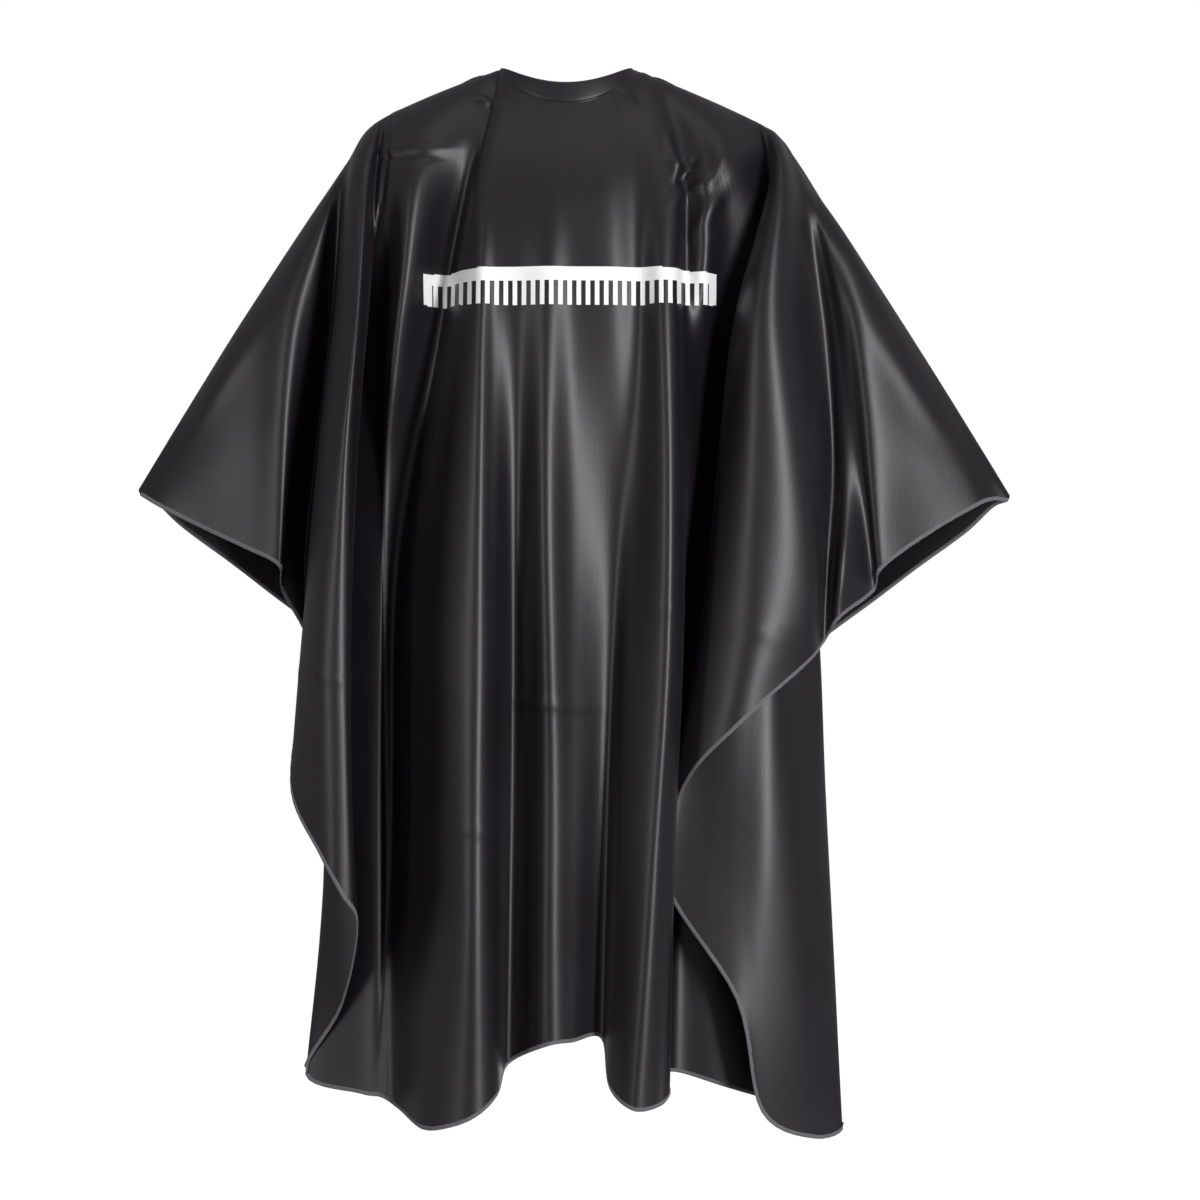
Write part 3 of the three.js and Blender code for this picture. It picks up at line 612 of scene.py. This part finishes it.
def makeStrip(name, angles, outward, thickness, material, waist=0.0):
    # a sewn strip round the neck: a flat loop section, swept along the neck curve, slightly
    # fuller in its middle than at its edges, with its two ends closed
    around = np.linspace(0, 2 * math.pi, band["around"], endpoint=False)
    c, s = np.cos(around), np.sin(around)
    belowShare = 0.5 - 0.5 * np.sign(s) * np.abs(s) ** 0.28          # 0 at the top edge, 1 at the lower
    out = np.sign(c) * np.abs(c) ** 0.7 * thickness / 2 * (1 + waist * np.sin(math.pi * belowShare))
    verts = neckPoint(angles[:, None], neck["band"] * belowShare[None, :], outward[:, None] + out[None, :])
    index = np.arange(verts.shape[0] * verts.shape[1]).reshape(verts.shape[:2])
    faces = gridFaces(index, closedDown=True).tolist() + [index[0][::-1].tolist(), index[-1].tolist()]
    return meshObject(name, verts.reshape(-1, 3) * mm, faces, material)


root = 180 - neck["closure"]
ring = np.linspace(-root, root, band["steps"])
neckband = makeStrip("neckband", ring, np.zeros_like(ring), band["thickness"], satin, waist=0.25)
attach(neckband, "cape")
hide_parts("neckband_outer", "neckband_lining", "neckband_stiffener")

overAngles = np.linspace(root - 1.5, 180 + band["overlap"], 90)
share = np.clip((overAngles - root - neck["rootGap"]) / band["stepAngle"], 0, 1)
overTab = makeStrip("over_tab_strip", overAngles, overTabOut * share ** 2 * (3 - 2 * share),
                    band["tabThickness"], satin)
underAngles = np.linspace(-root + 1.5, -180 - band["overlap"] + 2, 90)
underTab = makeStrip("under_tab_strip", underAngles, np.zeros_like(underAngles), band["tabThickness"], reverse)
for strip, body, slotName in ((overTab, "over_tab", "satin"), (underTab, "under_tab", "inner_cloth")):
    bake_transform(strip)
    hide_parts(body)
print("neckband and tabs ready")


def makeSnap(node, profile, angleFromNape, outward, body):
    # a turned piece: radius and height profile rounded at its corners, spun round
    profile = np.array(profile, float)
    spin = np.linspace(0, 2 * math.pi, snap["sides"], endpoint=False)
    angle = 180.0 - angleFromNape
    middle = neck["band"] / 2
    centre = neckPoint(angle, middle)
    along = unit(neckPoint(angle + 0.1, middle) - neckPoint(angle - 0.1, middle))
    down = neckPoint(angle, middle + 1) - neckPoint(angle, middle - 1)
    down = unit(down - along * (down @ along))
    out = unit(np.cross(along, down))
    out = out if out[1] > 0 else -out
    verts = (centre + out * outward + profile[None, :, 1, None] * out
             + profile[None, :, 0, None] * (np.cos(spin)[:, None, None] * along + np.sin(spin)[:, None, None] * down))
    index = np.arange(verts.shape[0] * verts.shape[1]).reshape(verts.shape[:2])
    faces = gridFaces(np.vstack([index, index[:1]]))
    obj = meshObject(node + "_turned", verts.reshape(-1, 3) * mm, faces, acetal)
    merged = bmesh.new()
    merged.from_mesh(obj.data)
    bmesh.ops.remove_doubles(merged, verts=merged.verts, dist=1e-6)
    bmesh.ops.recalc_face_normals(merged, faces=merged.faces)
    merged.to_mesh(obj.data)
    merged.free()
    bevel = obj.modifiers.new("edges", "BEVEL")
    bevel.width, bevel.segments, bevel.limit_method = 0.00018, 2, "ANGLE"
    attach(obj, body)
    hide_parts(node)


r, k = snap["radius"], snap["knobRadius"]
pin, through = snap["pin"], snap["tab"] + snap["gap"]
socketInside, socketFloor = k + snap["knobClearance"], snap["socketHeight"] - snap["socketFloor"]
studTop = snap["flange"] + snap["knobHeight"]
capProfile = [(0, -through), (pin, -through), (pin, 0), (r, 0),
              (r, 0.55), (r * 0.86, 1.0), (r * 0.6, 1.2), (r * 0.3, 1.28), (0, snap["capHeight"])]
socketProfile = [(0, socketFloor), (socketInside, socketFloor), (socketInside, 0), (r * 0.8, 0),
                 (r, snap["socketHeight"] * 0.4), (r, snap["socketHeight"]), (0, snap["socketHeight"])]
studProfile = [(0, 0), (r, 0), (r, snap["flange"]), (k * 0.85, snap["flange"]),
               (k, snap["flange"] + snap["knobHeight"] * 0.6), (k * 0.7, studTop), (0, studTop)]
postProfile = [(0, -snap["postHead"]), (r * 0.9, -snap["postHead"]), (r, -0.5), (r, 0), (pin, 0), (pin, through),
               (0, through)]
for number in range(1, 6):
    angle = (number - 3) * snap["pitchAngle"]
    makeSnap(f"snap_stud_{number}", studProfile, angle, studSeat, "under_tab")
    makeSnap(f"snap_post_{number}", postProfile, angle, -snap["tab"] / 2 - snap["gap"], "under_tab")
for number, angle in ((1, -snap["pitchAngle"]), (2, snap["pitchAngle"])):
    makeSnap(f"snap_socket_{number}", socketProfile, angle, socketSeat, "over_tab")
    makeSnap(f"snap_cap_{number}", capProfile, angle, capSeat, "over_tab")
print("snaps ready")


label = {"thickness": 0.0003, "bow": 0.0004, "lean": 0.0006}


def makeLabel():
    # a ribbon as long as the CAD label, with a slight bow across its width
    low, high = (np.array(corner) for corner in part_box("care_label"))
    u, v = np.meshgrid(np.linspace(0, 1, 13), np.linspace(0, 1, 25), indexing="ij")
    x = (low[0] + high[0]) / 2 + label["bow"] * np.sin(math.pi * u) - label["lean"] * (1 - v) ** 2
    y = low[1] + (high[1] - low[1]) * u
    z = high[2] - (high[2] - low[2]) * v
    grid = np.stack([x, y, z], axis=-1)
    strip = meshObject("care_label_ribbon", grid.reshape(-1, 3),
                       gridFaces(np.arange(u.size).reshape(u.shape)), ribbon)
    solid = strip.modifiers.new("thickness", "SOLIDIFY")
    solid.thickness = label["thickness"]
    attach(strip, "care_label")
    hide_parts("care_label")
    print("care label ready")


makeLabel()


def makePrint():
    # a comb seen from its side, cut as a grid of cells (spine rows whole, teeth every other
    # column), then laid on the cloth straight from the front
    comb = {"width": 338, "height": 44, "spine": 16, "teeth": 33, "top": -222, "centre": 5, "cell": 1.3,
            "endTooth": 9, "ahead": -300.0, "inkRise": 0.0005}
    toothPitch = comb["width"] / (2 * comb["teeth"] - 1)
    columns = int(comb["width"] / comb["cell"])
    rows = int(comb["height"] / comb["cell"])
    x = np.linspace(-comb["width"] / 2, comb["width"] / 2, columns + 1)
    drop = np.linspace(0, comb["height"], rows + 1)
    grid = np.stack(np.broadcast_arrays(
        x[:, None] + comb["centre"], comb["ahead"], comb["top"] - drop[None, :]), axis=-1)
    middleX = ((x[:-1] + x[1:]) / 2)[:, None]
    middleDrop = ((drop[:-1] + drop[1:]) / 2)[None, :]
    share = middleX / (comb["width"] / 2)
    spineTop = 4.5 * share ** 4
    tooth = np.floor((middleX + comb["width"] / 2) / toothPitch) % 2 == 0
    toothEnd = comb["height"] - 5 * np.abs(share) ** 3
    ends = np.abs(middleX) > comb["width"] / 2 - comb["endTooth"]
    keep = (middleDrop > spineTop) & ((middleDrop < comb["spine"]) | ((tooth | ends) & (middleDrop < toothEnd)))
    faces = gridFaces(np.arange(grid[..., 0].size).reshape(grid.shape[:2])).reshape(columns, rows, 4)[keep]
    used, compact = np.unique(faces, return_inverse=True)
    printed = meshObject("comb_print", grid.reshape(-1, 3)[used] * mm, compact.reshape(-1, 4), ink)
    lay = printed.modifiers.new("lay", "SHRINKWRAP")
    lay.target = cape
    lay.wrap_method = "PROJECT"
    lay.use_project_y = True
    lay.use_positive_direction = True
    lay.use_negative_direction = False
    lay.offset = comb["inkRise"]
    bpy.context.view_layer.update()
    flat = bpy.data.meshes.new_from_object(printed.evaluated_get(bpy.context.evaluated_depsgraph_get()))
    printed.modifiers.clear()
    printed.data = flat
    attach(printed, "cape")
    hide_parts("chest_print")
    print("chest print ready")


makePrint()
